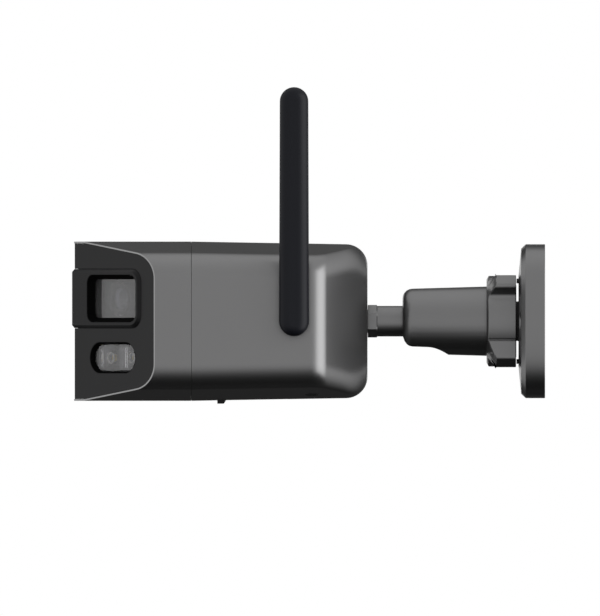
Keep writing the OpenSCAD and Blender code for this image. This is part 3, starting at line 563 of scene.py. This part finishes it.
def reflector(name, side):
    """Two faceted bowls, each square at its mouth and round at its light."""
    u, v = face_spot("light_optic_" + name, side)
    shelf, deep, neck_r = -5.5, 3.0, 2.45
    mouth = rounded(13.4, 11.2, 2.2, 4)
    rim = rounded(13.6, 11.4, 2.3, 4)
    rings = [at_height(rim, shelf - deep), at_height(rim, shelf), at_height(mouth, shelf)]
    for t in arc(0, 1, 5)[1:]:
        ring = []
        for i, (x, y) in enumerate(mouth):
            a = math.atan2(y, x)
            pleat = 1 + (0.05 if i % 2 else -0.03) * (1 - t)
            k = (1 - t) ** 0.8
            neck_x, neck_y = neck_r * math.cos(a), neck_r * math.sin(a)
            ring.append(((neck_x + (x - neck_x) * k) * pleat, (neck_y + (y - neck_y) * k) * pleat,
                         shelf - deep * t ** 0.75))
        rings.append(ring)
    bowl = frame_skin(rings)
    bowls = joined([shifted(bowl, cell * CELL_OFFSET) for cell in (-1, 1)])
    obj = solid("reflector_" + name, *bowls, face_place(side, u, v), smooth_deg=12)
    dress(obj, "head", MIRROR)
    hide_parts("light_optic_" + name)


def light_ribs(name, side):
    """Upright double ribs in front of the reflector, each with two small beads."""
    u, v = face_spot("light_optic_" + name, side)
    level, rib_half, rib_w, rib_t, rib_apart, bead_r, bead_v = -5.0, 4.6, 0.28, 0.7, 1.1, 0.5, 3.1
    inner_rib, outer_rib = -11.3, 5.8
    parts = []
    for rib_u in (inner_rib, outer_rib):
        for side_u in (-rib_apart / 2, rib_apart / 2):
            left, right = rib_u + side_u - rib_w / 2, rib_u + side_u + rib_w / 2
            outline = [(left, -rib_half), (right, -rib_half), (right, rib_half), (left, rib_half)]
            parts.append(skin([at_height(outline, level - rib_t), at_height(outline, level)]))
        for bead in (-bead_v, bead_v):
            arch = [(bead_r * math.cos(a), level - 0.1 + bead_r * math.sin(a)) for a in arc(-1.3, 1.3, 8)]
            points, faces = shifted(lathe(arch, 16), rib_u)
            parts.append(([(x, y + bead, z) for x, y, z in points], faces))
    obj = solid("light_ribs_" + name, *joined(parts), face_place(side, u, v))
    dress(obj, "head", RIB)


def emitters(name, side):
    """Two LEDs: a round package, a phosphor dome and a pale plastic ring lens round it."""
    u, v = face_spot("leds_" + name, side)
    dome_r, dome_h, dome_foot = 1.35, 0.75, -8.85
    dome = [(dome_r * math.cos(a), dome_foot + dome_h * math.sin(a)) for a in arc(0, math.pi / 2, 6)]
    led = lathe([(1.7, -9.4), (1.7, -8.9), (1.4, dome_foot)] + dome, 32)
    leds = joined([shifted(led, cell * CELL_OFFSET) for cell in (-1, 1)])
    obj = solid("led_domes_" + name, *leds, face_place(side, u, v))
    dress(obj, "head", PHOSPHOR)
    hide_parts("leds_" + name)
    ring_r, tube_r, ring_z = 2.25, 0.42, -6.9
    tube = [(ring_r + tube_r * math.cos(a), ring_z + tube_r * math.sin(a))
            for a in arc(0, 2 * math.pi, 12)[:-1]]
    ring = closed_lathe(tube, 40)
    rings = joined([shifted(ring, cell * CELL_OFFSET) for cell in (-1, 1)])
    obj = solid("ring_lens_" + name, *rings, face_place(side, u, v))
    dress(obj, "head", SLIP)


# ---------- Lens modules ----------


def lens(name, side):
    """The stepped throat, the iris and the domed glass of one lens."""
    u, v = face_spot("lens_barrel_" + name, side)
    rim_r, mouth_r, seat_r, bore_r = 7.45, 6.95, 4.88, 4.42
    front, seat, back = -5.68, -7.55, -16.9
    terraces = 5
    steps = [(rim_r, -8.3), (rim_r, front - 0.15), (rim_r - 0.15, front)]
    for i in range(terraces):
        outer_r = mouth_r + (seat_r - mouth_r) * i / terraces
        steps.append((outer_r, front + (seat - front) * i / terraces))
        steps.append((outer_r - 0.06, front + (seat - front) * (i + 1) / terraces))
    steps += [(seat_r, seat), (seat_r, -9.97), (bore_r, -9.97), (bore_r, back), (6.0, back), (6.0, -8.4)]
    throat = solid("lens_throat_" + name, *closed_lathe(steps, 72), face_place(side, u, v))
    dress(throat, "head", BARREL)
    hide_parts("lens_barrel_" + name)
    radius, glass_r, crown, thick = 7.6, 4.82, -5.78, 1.1
    half = math.asin(glass_r / radius)
    front_curve = [(radius * math.sin(a), crown - radius * (1 - math.cos(a))) for a in arc(half, 0, 14)]
    back_curve = [(r, z - thick) for r, z in reversed(front_curve)]
    glass = solid("lens_dome_" + name, *lathe(back_curve + front_curve, 64), face_place(side, u, v))
    dress(glass, "head", COATED)
    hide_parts("lens_front_" + name)
    retainer = solid("lens_retainer_" + name, *closed_lathe(
        [(4.84, -8.75), (4.84, -9.9), (4.0, -9.9), (4.0, -9.55)], 64), face_place(side, u, v))
    dress(retainer, "head", RETAINER)
    blades = [(4.3, -10.4), (4.3, -10.1), (3.4, -10.4), (2.6, -10.8), (1.0, -11.1), (1.0, -11.5), (2.8, -11.5),
              (4.3, -11.0)]
    iris = solid("lens_iris_" + name, *closed_lathe(blades, 48), face_place(side, u, v))
    dress(iris, "head", BARREL)
    bead_r, bead_h, bead_z, bead_back = 0.95, 0.35, -11.2, -11.9
    bead = [(bead_r * math.sin(a), bead_z + bead_h * math.cos(a)) for a in arc(math.pi / 2, 0, 8)]
    profile = [(0, bead_back), (bead_r, bead_back)] + bead
    element = solid("lens_element_" + name, *lathe(profile, 32), face_place(side, u, v))
    dress(element, "head", PUPIL)


def window_recess_shade(name, side):
    """A near-black, nearly unreflective sheet on the wall of the opening in the lens surround, from its face
    down to the glass: painted shade for the recess.
    """
    u, v = face_spot("window_glass_" + name, side)
    top, foot, thick = 0.62, -3.55, 0.12
    mouth_w, mouth_h, mouth_r = 33.9, 21.4, 3.9
    seat_w, seat_h, seat_r = 32.45, 17.7, 2.6
    rings = [
        at_height(rounded(mouth_w, mouth_h, mouth_r), top),
        at_height(rounded(mouth_w - 2 * thick, mouth_h - 2 * thick, mouth_r - thick), top),
        at_height(rounded(seat_w - 2 * thick, seat_h - 2 * thick, seat_r - thick), foot),
        at_height(rounded(seat_w, seat_h, seat_r), foot),
    ]
    obj = solid("window_recess_shade_" + name, *frame_skin(rings), face_place(side, u, v))
    dress(obj, "head", RECESS_SHADE_BLACK)


def surround_seal():
    """A dark seal that fills the gap between the panel and the lens surround at the nose."""
    high, low = 23.8, -3.2
    half, thick, shallow, deep = 5.0, 0.5, 1.4, 2.6
    nose = [(front_x(y, shallow), y) for y in (-half, -NOSE_HALF, NOSE_HALF, half)]
    back = [(front_x(y, deep), y) for y in (half, NOSE_HALF, -NOSE_HALF, -half)]
    for label, z in (("top", high), ("bottom", low)):
        rings = [[(x, y, z + dz) for x, y in nose + back] for dz in (-thick, thick)]
        obj = solid("surround_seal_" + label, *skin(rings))
        dress(obj, "head", RUBBER)


for side_name, side_sign in SIDES.items():
    light_bezel(side_name, side_sign)
    reflector(side_name, side_sign)
    light_ribs(side_name, side_sign)
    emitters(side_name, side_sign)
    lens(side_name, side_sign)
    window_recess_shade(side_name, side_sign)
surround_seal()


# ---------- Antenna ----------


def antenna():
    """A tapered paddle, nearly flat towards the camera and softly domed on the outside."""
    low, high = node_box("antenna_cover")
    middle = (low.x + high.x) / 2
    foot_r = (high.x - low.x) / 2
    tip_r = 6.5
    tip_z = high.z - tip_r
    back, front = low.y, high.y

    def round_end(r, y, z, start, steps=20):
        return [(middle + r * math.cos(a), y, z + r * math.sin(a)) for a in arc(start, start + math.pi, steps)]

    def outline(inset, y):
        return round_end(foot_r - inset, y, 0, math.pi) + round_end(tip_r - inset, y, tip_z, 0)

    rings = []
    back_soft, front_in, front_out = 1.5, 5.4, 4.0
    for a in arc(0, math.pi / 2, 5):
        rings.append(outline(back_soft * (1 - math.sin(a)), back + back_soft * (1 - math.cos(a))))
    for a in arc(0, math.pi / 2 - 0.05, 12):
        rings.append(outline(front_in * (1 - math.cos(a)), front - front_out * (1 - math.sin(a))))
    obj = solid("antenna_paddle", *skin(rings), smooth_deg=50)
    weigh(obj)
    dress(obj, "antenna", ANTENNA)
    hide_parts("antenna_cover")


antenna()


# ---------- CAD nodes that keep their shape ----------


def finish_node(node, mat, width=0.2, segments=2):
    """Joins a CAD node's faces, rounds its edges and paints it."""
    obj = frame["nodes"][node]
    for place in obj.material_slots:
        place.material = mat
    weld = obj.modifiers.new("weld", "WELD")
    weld.merge_threshold = 0.001 * MM
    flat = obj.modifiers.new("flats", "DECIMATE")
    flat.decimate_type = "DISSOLVE"
    flat.angle_limit = math.radians(0.6)
    if width:
        bevel(obj, width, segments)
    sharp = obj.modifiers.new("sharp", "NODES")
    sharp.node_group = smooth_by_angle(50 if width else 28)
    weigh(obj)


# Each node's material, and the width of its rounded edges.
KEPT = {
    "base_plate": (BRACKET, 0.25), "spacer_ring": (BLACK, 0.1), "lock_nut": (BRACKET, 0.3),
    "socket_cup": (BRACKET, 0.3), "ball_stem": (BRACKET, 0.2), "ball_shoe": (SLIP, 0),
    "slip_washer": (SLIP, 0), "base_seal": (RUBBER, 0), "stem_seal": (RUBBER, 0),
    "stem_washer": (STEEL, 0), "stem_nut": (BRASS, 0), "shell_seal": (RUBBER, 0),
    "body_screws": (STEEL, 0), "vent_plug": (BLACK, 0.1), "front_panel": (PANEL, 0.12),
    "lens_hood": (HOOD, 0.15), "front_frame": (BLACK, 0), "frame_screws": (STEEL, 0),
    "window_glass_left": (WINDOW, 0), "window_glass_right": (WINDOW, 0), "lens_holder_left": (BLACK, 0),
    "lens_holder_right": (BLACK, 0), "ir_filter_left": (FILTER, 0), "ir_filter_right": (FILTER, 0),
    "sensor_board_left": (BOARD, 0), "sensor_board_right": (BOARD, 0), "light_cover_left": (COVER, 0.4),
    "light_cover_right": (COVER, 0.4), "led_board_left": (LED_BOARD, 0),
    "led_board_right": (LED_BOARD, 0), "chassis": (ALUMINIUM, 0), "main_board": (BOARD, 0),
    "main_chips": (CHIP, 0), "thermal_pad": (PAD, 0), "heat_spreader": (ALUMINIUM, 0),
    "wifi_board": (BOARD, 0), "wifi_shield": (STEEL, 0), "flex_left": (RIBBON, 0),
    "flex_right": (RIBBON, 0), "speaker": (BLACK, 0), "microphone": (STEEL, 0), "card_board": (BOARD, 0),
    "card_socket": (STEEL, 0), "reset_button": (BUTTON, 0.15), "card_door": (BLACK, 0.15),
    "door_pin": (STEEL, 0), "antenna_hub": (ANTENNA, 0.2), "antenna_pin": (BRASS, 0),
    "antenna_lead": (RUBBER, 0),
}
for kept_node, (kept_material, kept_width) in KEPT.items():
    finish_node(kept_node, kept_material, kept_width)


# ---------- Floor, light and camera ----------

FLOOR_Z = -0.30


def floor():
    mesh = bpy.data.meshes.new("floor")
    size = 12.0
    corners = [(-size, -size), (size, -size), (size, size), (-size, size)]
    mesh.from_pydata([(x, y, FLOOR_Z) for x, y in corners], [], [(0, 1, 2, 3)])
    obj = bpy.data.objects.new("floor", mesh)
    bpy.context.scene.collection.objects.link(obj)
    obj.data.materials.append(FLOOR)
    obj.visible_diffuse = False
    obj.visible_glossy = False


FLOOR = material("pale_floor", (0.9, 0.9, 0.9), 0.9, spec=0.1, mottle=0.005, mottle_mm=800, grain=0.0,
                 grain_mm=20)
FLOOR.node_tree.nodes["Principled BSDF"].inputs["Emission Color"].default_value = (1, 1, 1, 1)
FLOOR.node_tree.nodes["Principled BSDF"].inputs["Emission Strength"].default_value = 0.9
floor()


def softbox(name, place, target, width, height, strength):
    """A soft area light at place, facing target, with its radiance given."""
    light = bpy.data.lights.new(name, "AREA")
    light.shape = "RECTANGLE"
    light.size = width
    light.size_y = height
    light.energy = strength * width * height * math.pi
    obj = bpy.data.objects.new(name, light)
    obj.location = place
    obj.rotation_euler = (Vector(target) - Vector(place)).to_track_quat("-Z", "Y").to_euler()
    bpy.context.scene.collection.objects.link(obj)


MIDDLE = (0.12, 0.0, 0.0)
softbox("far_side", (0.12, -3.0, 0.1), MIDDLE, 5.0, 0.9, 1.0)


def world():
    """A pale studio for the object's gloss, and plain white for the camera's own eye.

    The room is bright in front, overhead and at both ends, and falls off to dark behind the object and
    under it.
    """
    room = bpy.data.worlds.new("studio")
    room.use_nodes = True
    nodes, links = room.node_tree.nodes, room.node_tree.links
    place = nodes.new("ShaderNodeTexCoord")
    split = nodes.new("ShaderNodeSeparateXYZ")
    links.new(place.outputs["Generated"], split.inputs[0])
    x, y, z = split.outputs

    def math_node(operation, *values):
        node = nodes.new("ShaderNodeMath")
        node.operation = operation
        for i, value in enumerate(values):
            if isinstance(value, (int, float)):
                node.inputs[i].default_value = value
            else:
                links.new(value, node.inputs[i])
        return node.outputs[0]

    def ramp(value, stops):
        """Brightness along a value, through (value, brightness) stops."""
        node = nodes.new("ShaderNodeFloatCurve")
        curve = node.mapping.curves[0]
        points = [((at + 1) / 2, height / CEILING) for at, height in stops]
        while len(curve.points) < len(points):
            curve.points.new(0.5, 0.5)
        for point, (at, height) in zip(curve.points, points):
            point.location = (at, height)
            point.handle_type = "AUTO_CLAMPED"
        node.mapping.use_clip = False
        node.mapping.update()
        links.new(math_node("MULTIPLY_ADD", value, 0.5, 0.5), node.inputs["Value"])
        return math_node("MULTIPLY", node.outputs[0], CEILING)

    CEILING = 6.0
    front = ramp(z, FRONT_STOPS)
    back = ramp(z, BACK_STOPS)
    behind = ramp(y, BEHIND_STOPS)
    walls = math_node("ADD", math_node("MULTIPLY", back, behind),
                      math_node("MULTIPLY", front, math_node("SUBTRACT", 1.0, behind)))
    flat = math_node("SQRT", math_node("ADD", math_node("MULTIPLY", x, x), math_node("MULTIPLY", y, y)))
    total = walls
    for azimuth, stops in STRIPS:
        towards = math_node("ADD", math_node("MULTIPLY", x, math.sin(math.radians(azimuth))),
                            math_node("MULTIPLY", y, math.cos(math.radians(azimuth))))
        strip = ramp(math_node("DIVIDE", towards, math_node("MAXIMUM", flat, 0.01)), stops)
        height = ramp(z, STRIP_HEIGHT)
        total = math_node("ADD", total, math_node("MULTIPLY", strip, height))
    grey = nodes["Background"]
    links.new(math_node("MULTIPLY", total, ROOM_LIGHT), grey.inputs["Strength"])
    grey.inputs["Color"].default_value = (1, 1, 1, 1)
    white = nodes.new("ShaderNodeBackground")
    white.inputs["Color"].default_value = (1, 1, 1, 1)
    path = nodes.new("ShaderNodeLightPath")
    mix = nodes.new("ShaderNodeMixShader")
    links.new(path.outputs["Is Camera Ray"], mix.inputs[0])
    links.new(grey.outputs[0], mix.inputs[1])
    links.new(white.outputs[0], mix.inputs[2])
    links.new(mix.outputs[0], nodes["World Output"].inputs["Surface"])
    bpy.context.scene.world = room


# Brightness of the room by the height of a direction: in front of the object, and behind it.
ROOM_LIGHT = 1.0
FRONT_STOPS = ((-1.0, 0.02), (-0.9, 0.045), (-0.8, 0.12), (-0.69, 0.27), (-0.57, 0.53), (-0.44, 0.8),
               (-0.28, 1.06), (0.0, 1.09), (0.5, 1.03), (0.75, 1.08), (0.93, 1.2), (1.0, 1.28))
BACK_STOPS = ((-1.0, 0.02), (-0.87, 0.012), (-0.34, 0.05), (0.0, 0.05), (0.3, 0.04), (0.6, 0.25),
              (0.75, 0.75), (0.88, 1.15), (1.0, 1.28))
# How far a direction counts as behind the object, by how far it points away from the camera's side.
BEHIND_STOPS = ((-1.0, 1.0), (-0.74, 1.0), (-0.42, 0.0), (1.0, 0.0))
# Upright strip lights: the azimuth of each from +Y towards +X, and its brightness by the cosine of the
# angle from it.
STRIPS = (
    (-62, ((-1.0, 0.0), (0.8, 0.0), (0.93, 2.5), (1.0, 3.0))),
    (92, ((-1.0, 0.0), (0.75, 0.0), (0.95, 0.22), (1.0, 0.25))),
)
STRIP_HEIGHT = ((-1.0, 0.0), (-0.75, 0.0), (-0.55, 1.0), (0.55, 1.0), (0.75, 0.0), (1.0, 0.0))
world()


def camera():
    """A parallel view, square to the side that the antenna is on."""
    seen = bpy.data.cameras.new("camera")
    seen.type = "ORTHO"
    seen.ortho_scale = 0.280
    seen.clip_end = 50
    obj = bpy.data.objects.new("camera", seen)
    obj.location = (0.1114, 2.0, 0.006)
    obj.rotation_euler = (math.radians(90), 0, math.radians(180))
    bpy.context.scene.collection.objects.link(obj)
    bpy.context.scene.camera = obj
    bpy.context.scene.view_settings.view_transform = "Standard"


camera()
